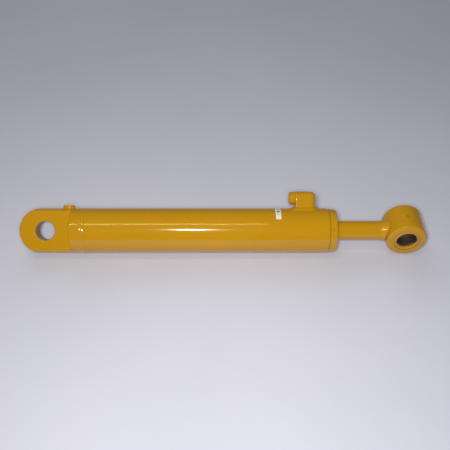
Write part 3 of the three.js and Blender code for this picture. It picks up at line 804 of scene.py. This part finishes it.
def label():
    """Narrow paper strip wrapped round the tube, a hair proud of the paint."""
    width, length = 8.4, 46.0
    lift, thickness = 0.10, 0.12
    centre_x = 360.6
    start_turn = math.radians(31)
    rows, columns = 24, 96
    u, v = np.meshgrid(np.linspace(-1, 1, rows), np.linspace(0, 1, columns), indexing="ij")
    corner = 1.2
    end = np.minimum(v, 1 - v) * length
    trim = corner - np.sqrt(np.maximum(corner**2 - np.maximum(corner - end, 0) ** 2, 0))
    x = centre_x + u * (width / 2 - trim)
    turn = start_turn + v * length / TUBE_R
    layers = []
    for r in (TUBE_R + lift + thickness, TUBE_R + 0.01):
        layers.append(np.stack([x, -r * np.cos(turn), r * np.sin(turn)], -1).reshape(-1, 3))
    points = np.concatenate(layers)
    faces = []
    under = rows * columns
    for i in range(rows - 1):
        for j in range(columns - 1):
            a, b = i * columns + j, (i + 1) * columns + j
            faces.append((a, b, b + 1, a + 1))
            faces.append((under + a, under + a + 1, under + b + 1, under + b))
    rim = [i * columns for i in range(rows)]
    rim += [(rows - 1) * columns + j for j in range(1, columns)]
    rim += [i * columns + columns - 1 for i in range(rows - 2, -1, -1)]
    rim += [j for j in range(columns - 2, 0, -1)]
    for a, b in zip(rim, rim[1:] + rim[:1]):
        faces.append((a, under + a, under + b, b))
    obj = mesh_object("paper_label", to_row(points), faces)
    ink = np.zeros(u.shape)
    bars = ((0.20, 0.235, 0.30), (0.31, 0.41, 0.6), (0.47, 0.50, 0.6), (0.57, 0.60, 0.6))
    strength, soft_v, soft_u = 0.9, 0.01, 0.1
    for v_low, v_high, u_half in bars:
        bar = smooth_step(v, v_low - soft_v, v_low + soft_v)
        bar = bar * (1 - smooth_step(v, v_high - soft_v, v_high + soft_v))
        bar = bar * (1 - smooth_step(np.abs(u), u_half - soft_u, u_half + soft_u))
        ink = np.maximum(ink, strength * bar)
    layer = obj.data.attributes.new("ink", "FLOAT", "POINT")
    layer.data.foreach_set("value", np.tile(ink.ravel(), 2).astype(np.float32))
    return obj


# ---------------------------------------------------------------- gland
def gland():
    """Chamfered flange with four spanner holes, and the threaded body inside the tube."""
    slope = math.atan2(CONE_DROP, CONE_LENGTH)
    outer_edge, end_edge, mouth_edge, hole_edge = 0.7, 0.8, 0.4, 0.35
    mouth_r = ROD_R + 3.6
    hole_r, hole_floor = 1.6, FLANGE_R - 1.8

    def field(p):
        x, y, z = p.T
        r = np.hypot(y, z)
        cone = (x - FLANGE_END + CONE_LENGTH) * math.sin(slope) + (r - FLANGE_R) * math.cos(slope)
        flange = meet(r - FLANGE_R, cone, outer_edge)
        flange = meet(flange, x - FLANGE_END, end_edge)
        flange = meet(flange, FLANGE_START - x, outer_edge)
        flange = meet(flange, mouth_r - r, mouth_edge)
        turned_y = y * math.cos(SPANNER_TURN) - z * math.sin(SPANNER_TURN)
        turned_z = y * math.sin(SPANNER_TURN) + z * math.cos(SPANNER_TURN)
        for across, out in ((turned_y, turned_z), (turned_z, turned_y)):
            hole = np.maximum(np.hypot(x - SPANNER_X, across) - hole_r, hole_floor - np.abs(out))
            flange = meet(flange, -hole, hole_edge)
        return flange

    low = (FLANGE_START, -FLANGE_R, -FLANGE_R)
    high = (FLANGE_END, FLANGE_R, FLANGE_R)
    flange = net("gland_flange", field, low, high, 0.6, unmarked)
    bore = ROD_R + 0.4
    nose_r, nose_end = 25, 410.5
    fit_r = BORE_R - 0.2
    thread_start, thread_r = 424, BORE_R + 0.8
    groove_start, groove_end, groove_r = 413, 420, 26.4
    corners = [
        (NOSE_START, bore, 0.5),
        (NOSE_START, nose_r, 0.8),
        (nose_end, nose_r, 0.5),
        (nose_end, fit_r, 0.8),
        (groove_start, fit_r, 0.2),
        (groove_start, groove_r, 0.3),
        (groove_end, groove_r, 0.3),
        (groove_end, fit_r, 0.2),
        (thread_start, fit_r, 0),
        (thread_start + 0.6, thread_r, 0),
        (FLANGE_START + 1, thread_r, 0),
        (FLANGE_START + 1, bore, 0),
    ]
    body = revolved("gland_body", corners)
    mark_bare(body, 1.0)
    return joined("gland_head_fine", flange, body)


def wiper():
    """Wiper whose lip stands just out of the gland's mouth, painted over where it shows."""
    lip = ROD_R + 0.15
    recess = ROD_R + 0.9
    painted_from = FLANGE_END - 2.6
    seat_start, seat_end, seat_r = 443.4, 448.9, 19.1
    corners = [
        (seat_start, recess, 0.2),
        (seat_start, seat_r, 0.3),
        (seat_end, seat_r, 0.3),
        (seat_end, seat_r - 1.1, 0.2),
        (FLANGE_END - 0.6, 17.2, 0.3),
        (FLANGE_END + 0.4, lip + 0.1, 0.12),
        (FLANGE_END - 1.4, lip, 0.2),
        (447, recess, 0.3),
    ]
    return revolved("rod_wiper_fine", corners, bare=lambda a, r, t: (a < painted_from).astype(float))


# ---------------------------------------------------------------- rod and eye
def rod():
    """Rod with a turned-down seat for the piston, painted from the gland's mouth to the eye."""
    axis_r = 0.02
    seat_end, seat_r = 125.2, 10
    butt = EYE_X - EYE_R - ROOT_GAP
    weld_prep, prep_drop = 10, 6
    painted_from, paint_edge = FLANGE_END + 0.8, 0.4
    corners = [
        (rod_low.x, axis_r, 0),
        (rod_low.x, seat_r, 1.4),
        (seat_end, seat_r, 0),
        (seat_end, ROD_R, 0.8),
        (painted_from - 1.5, ROD_R, 0),
        (painted_from - paint_edge, ROD_R, 0),
        (painted_from + paint_edge, ROD_R, 0),
        (painted_from + 1.5, ROD_R, 0),
        (butt - weld_prep, ROD_R, 2.0),
        (butt, ROD_R - prep_drop, 0),
        (butt, axis_r, 0),
    ]

    def bare(a, r, t):
        return 1 - smooth_step(a, painted_from - paint_edge, painted_from + paint_edge)

    return revolved("rod_fine", corners, bare=bare)


def eye():
    """Cross tube with the grease hole in its top."""
    rim_edge, bore_edge, hole_edge = 4.4, 0.5, 0.6

    def field(p):
        x, y, z = p.T
        y = y - EYE_SHIFT
        r = np.hypot(x - EYE_X, z)
        body = meet(r - EYE_R, np.abs(y) - EYE_HALF, rim_edge)
        body = meet(body, BUSH_R + PRESS_GAP - r, bore_edge)
        grease = np.maximum(np.hypot(x - EYE_X, y) - GREASE_R, -z)
        return meet(body, -grease, hole_edge)

    def bare(p):
        return np.hypot(p[:, 0] - EYE_X, p[:, 2]) < BUSH_R + 0.3

    low = (EYE_X - EYE_R, EYE_SHIFT - EYE_HALF, -EYE_R)
    high = (EYE_X + EYE_R, EYE_SHIFT + EYE_HALF, EYE_R)
    return net("eye_tube_fine", field, low, high, 0.75, bare, barrel=False)


def bush():
    """Bush with a grease groove. Its end faces are painted, and a film of paint reaches into the near
    part of its lower half: painted light where light falls on the lower wall. The bare steel left on
    the upper half of the chamfer is painted shade."""
    chamfer = 1.8
    groove_half, groove_depth = 2.0, 1.2
    # depth of the painted-light paint film in the near lower half of the bore
    lit_film_depth = 13.0
    lit_film_end = chamfer - BUSH_HALF + lit_film_depth
    corners = [
        (-BUSH_HALF, PIN_R + chamfer, 0.3),
        (-BUSH_HALF, BUSH_R, 0.4),
        (BUSH_HALF, BUSH_R, 0.4),
        (BUSH_HALF, PIN_R + chamfer, 0.3),
        (BUSH_HALF - chamfer, PIN_R, 0.3),
        (groove_half + 1, PIN_R, 0.3),
        (groove_half, PIN_R + groove_depth, 0.3),
        (-groove_half, PIN_R + groove_depth, 0.3),
        (-groove_half - 1, PIN_R, 0.3),
        (lit_film_end, PIN_R, 0),
        (chamfer - BUSH_HALF, PIN_R, 0.3),
    ]

    def bare(a, r, t):
        clean, lit_wall_film, lit_chamfer_film = 0.9, 0.42, 0.55
        # painted light: paint colour laid on the near lower half of the bore, where light falls on the
        # lower wall;
        # painted shade: the upper half of the chamfer stays dark bare steel where it lies in shade
        lit_lower_half = smooth_step(-np.cos(t), -0.1, 0.6) * (a < 0)
        depth = BUSH_HALF - chamfer - np.abs(a)
        wall = clean - lit_wall_film * lit_lower_half * (1 - smooth_step(depth, 0, lit_film_depth))
        edge = smooth_step(PIN_R + chamfer + 0.1 - r, 0.0, 0.5) * (1 - lit_chamfer_film * lit_lower_half)
        return np.where(r < PIN_R + 0.4, wall, edge)

    return revolved("eye_bush_fine", corners, bare=bare, about_y=(EYE_X, EYE_SHIFT))


def eye_bead():
    """Weld that runs up from the rod like a shallow cone and ends bluntly on the eye's curved wall.
    It is heaviest along one line and the line opposite, and thinner between them."""
    facets, rows = 480, 61
    bend_x, bend = ROD_WELD_START + 3.0, 2.0
    thinner, meeting_rounds, overlap = 0.6, 12, 0.4
    ripple_height, ripple_pitch, unevenness = 0.015, 2.2, 0.08
    crest_height, end_drop = 0.4, 1.6
    turn = np.linspace(0, 2 * math.pi, facets, endpoint=False)
    share, t = (v.ravel() for v in np.meshgrid(np.linspace(0, 1, rows), turn, indexing="ij"))
    along = t * ROD_R

    def climb(x):
        return (x - bend_x + np.hypot(x - bend_x, bend)) / 2

    def radius(x):
        slope = ROD_WELD_SLOPE * (1 - thinner * np.sin(t - ROD_WELD_HEAVY_TURN) ** 2)
        return ROD_R + SEAT_GAP + slope * (climb(x) - climb(ROD_WELD_START))

    wall = np.full_like(t, EYE_X - EYE_R)
    for _ in range(meeting_rounds):
        wall = EYE_X - np.sqrt(EYE_R**2 - (radius(wall) * np.cos(t)) ** 2)
    start = ROD_WELD_START + 0.3 * wander(along, 6.0)
    x = start + (wall + overlap - start) * share
    fade = np.clip(share / 0.06, 0, 1)
    ripple = ripple_height * scales(along, 2 * share - 1, ripple_pitch) * smooth_step(share, 0.1, 0.4)
    crest = crest_height * smooth_step(share, 0.70, 0.84) - end_drop * smooth_step(share, 0.86, 0.97)
    r = radius(x) + fade * (ripple + unevenness * wander(along, 2.0)) + crest
    return sleeve("eye_weld_bead", x, r, t, facets, ROD_R - 1, barrel=False)


# ---------------------------------------------------------------- inside pieces
RING_FACETS = 96


def plain_ring(node, inner):
    """Ring with soft corners over a CAD ring's own length and outer radius."""
    corner = 0.3
    low, high = box_mm(node)
    outer = (high.z - low.z) / 2
    corners = [
        (low.x, inner, corner),
        (low.x, outer, corner),
        (high.x, outer, corner),
        (high.x, inner, corner),
    ]
    return revolved(node + "_fine", corners, RING_FACETS)


def round_ring(node):
    """O-ring over a CAD ring's own box."""
    sides = 16
    low, high = box_mm(node)
    section = (high.x - low.x) / 2
    middle_x, middle_r = (low.x + high.x) / 2, (high.z - low.z) / 2 - section
    turn = [2 * math.pi * i / sides for i in range(sides)]
    corners = [(middle_x + section * math.cos(a), middle_r + section * math.sin(a), 0) for a in turn]
    return revolved(node + "_fine", corners, RING_FACETS)


def piston():
    """Piston with grooves for two wear rings and a seal, and a small groove for its O-ring."""
    low, high = box_mm("piston")
    outer = high.z
    bore = 10.2
    grooves = [(88, 96, 27.2), (99.5, 107.5, 24.4), (111, 120, 27.2)]
    o_ring_start, o_ring_end, o_ring_r = 121.2, 124, 12.3
    corners = [(low.x, bore, 0.3), (low.x, outer, 1.0)]
    for start, end, floor in grooves:
        corners += [(start, outer, 0.2), (start, floor, 0.3), (end, floor, 0.3), (end, outer, 0.2)]
    corners += [(high.x, outer, 1.0), (high.x, bore, 0.3)]
    corners += [(o_ring_end, bore, 0.1), (o_ring_end, o_ring_r, 0.1)]
    corners += [(o_ring_start, o_ring_r, 0.1), (o_ring_start, bore, 0.1)]
    return revolved("piston_fine", corners)


def nut():
    """Hexagon nut whose corners are turned off to a cone at both ends."""
    low, high = box_mm("piston_nut")
    flat = (high.y - low.y) / 2
    bore, edge, bore_edge = 10.15, 0.3, 0.6
    cone_slope, cone_unit = 0.5, 1.118
    cos_60, sin_60 = 0.5, 0.866
    corner = 1.2 * flat

    def field(p):
        x, y, z = p.T
        r = np.hypot(y, z)
        sides = [np.abs(y), np.abs(cos_60 * y + sin_60 * z), np.abs(cos_60 * y - sin_60 * z)]
        hexagon = np.maximum.reduce(sides) - flat
        ends = np.maximum(x - high.x, low.x - x)
        cone = (ends + cone_slope * (r - flat)) / cone_unit
        body = meet(hexagon, np.maximum(cone, ends), edge)
        return meet(body, bore - r, bore_edge)

    lowest, highest = (low.x, -corner, -corner), (high.x, corner, corner)
    return net("piston_nut_fine", field, lowest, highest, 0.7, barrel=False)


# ---------------------------------------------------------------- the object
finished(base_tang(), "barrel", "tube_paint", TANG_PAINT, "base_tang")
finished(girth_bead(), "barrel", "weld_paint", WELD_PAINT, "base_weld")
finished(base_boss(), "barrel", "tube_paint", PAINT, "base_port_boss")
finished(base_boss_bead(), "barrel", "weld_paint", WELD_PAINT, "base_port_weld")
finished(tube(), "barrel", "tube_paint", PAINT, "barrel_tube")
finished(elbow_block(), "barrel", "tube_paint", PAINT, "head_port_elbow")
finished(elbow_bead(), "barrel", "weld_paint", WELD_PAINT, "head_port_weld")
finished(label(), "barrel", None, LABEL)
finished(gland(), "barrel", "gland_paint", GLAND_PAINT, "gland")
finished(wiper(), "barrel", "seal_rubber", WIPER_PAINT, "rod_wiper")
finished(round_ring("gland_o_ring"), "barrel", "seal_rubber", RUBBER, "gland_o_ring")
for node, inner, body, slot, material in (
    ("gland_backup_ring", 26.6, "barrel", "guide_resin", RESIN),
    ("rod_guide_ring", ROD_R + 0.15, "barrel", "guide_resin", RESIN),
    ("rod_seal", ROD_R + 0.15, "barrel", "seal_polyurethane", POLYURETHANE),
    ("piston_wear_ring_rear", 27.4, "piston_rings", "guide_resin", RESIN),
    ("piston_seal_energizer", 24.6, "piston_rings", "seal_rubber", RUBBER),
    ("piston_seal", 27.6, "piston_rings", "seal_polyurethane", POLYURETHANE),
    ("piston_wear_ring_front", 27.4, "piston_rings", "guide_resin", RESIN),
):
    finished(plain_ring(node, inner), body, slot, material, node)
finished(nut(), "rod", "nut_steel", NUT_STEEL, "piston_nut")
finished(piston(), "rod", "piston_steel", PISTON_STEEL, "piston")
finished(round_ring("piston_o_ring"), "rod", "seal_rubber", RUBBER, "piston_o_ring")
finished(rod(), "rod", "rod_chrome", CHROME, "piston_rod")
finished(eye(), "rod", "tube_paint", PAINT, "rod_eye")
finished(bush(), "rod", "bush_steel", BUSH_PAINT, "rod_eye_bush")
finished(eye_bead(), "rod", "weld_paint", WELD_PAINT, "rod_eye_weld")


# ---------------------------------------------------------------- stage, light and camera, in metres
def floor():
    side, gap = 5.0, 0.0005
    mesh = bpy.data.meshes.new("floor")
    corners = [(-side, -side, 0), (side, -side, 0), (side, side, 0), (-side, side, 0)]
    mesh.from_pydata(corners, [], [(0, 1, 2, 3)])
    obj = bpy.data.objects.new("floor", mesh)
    bpy.context.scene.collection.objects.link(obj)
    obj.location = (0.3, 0, cad_box[0].z - gap)
    g = Graph("pale_cloth")
    darker, lighter = (0.645, 0.655, 0.795), (0.675, 0.68, 0.825)
    g.link(g.mix(g.ramp(g.noise(3, 3), 0.35, 0.65), darker, lighter), "Base Color")
    g.set(Roughness=0.85)
    g.bump((g.noise(600, 3), 0.15, 0.3))
    mesh.materials.append(g.material)


def area_light(name, place, target, size, power, colour, mirrored=True):
    """Rectangular light. One that isn't mirrored gives soft light but no highlight."""
    light = bpy.data.lights.new(name, "AREA")
    light.shape = "RECTANGLE"
    light.size, light.size_y = size
    light.energy = power
    light.color = colour
    obj = bpy.data.objects.new(name, light)
    bpy.context.scene.collection.objects.link(obj)
    obj.location = place
    obj.rotation_euler = (Vector(target) - Vector(place)).to_track_quat("-Z", "Y").to_euler()
    obj.visible_glossy = mirrored


LENS_MM = 51.43
ELEVATION = math.radians(46.9)
YAW = math.radians(1.09)
ROLL = math.radians(0.8)
DISTANCE = 1.0049
TARGET = Vector((0.2784, 0, 0.0122))


def camera():
    data = bpy.data.cameras.new("camera")
    data.sensor_width = 36
    data.lens = LENS_MM
    obj = bpy.data.objects.new("camera", data)
    bpy.context.scene.collection.objects.link(obj)
    level = math.cos(ELEVATION)
    forward = Vector((math.sin(YAW) * level, math.cos(YAW) * level, -math.sin(ELEVATION)))
    turn = forward.to_track_quat("-Z", "Y").to_matrix() @ Matrix.Rotation(ROLL, 3, "Z")
    obj.matrix_world = Matrix.Translation(TARGET - forward * DISTANCE) @ turn.to_4x4()
    bpy.context.scene.camera = obj
    return obj


def world():
    made = bpy.data.worlds.new("studio")
    made.use_nodes = True
    background = made.node_tree.nodes["Background"]
    background.inputs["Color"].default_value = (0.93, 0.96, 1.0, 1)
    background.inputs["Strength"].default_value = 0.10
    bpy.context.scene.world = made


floor()
eye_point = camera().matrix_world.translation
key_place = eye_point + Vector((-0.012, 0.0, 0.01))
flash_place = eye_point + Vector((-0.079, 0.0, 0.066))
strip_target = Vector((-0.083, 0, 0))
strip_place = strip_target + Vector((0, -0.49, 2.3))
back_place = Vector((TARGET.x - 0.7, 2.4, 2.2))
area_light("key", key_place, TARGET, (0.14, 0.14), 6.15, (0.98, 0.98, 0.99), mirrored=False)
area_light("flash", flash_place, TARGET, (0.09, 0.045), 2.4, (1.0, 0.93, 0.74))
area_light("ceiling_strip", strip_place, strip_target, (1.144, 0.03), 4.9, (1.0, 0.95, 0.45))
area_light("back_soft", back_place, TARGET, (3.0, 2.0), 20, (0.95, 0.97, 1.0), mirrored=False)
world()
bpy.context.scene.view_settings.view_transform = "Standard"
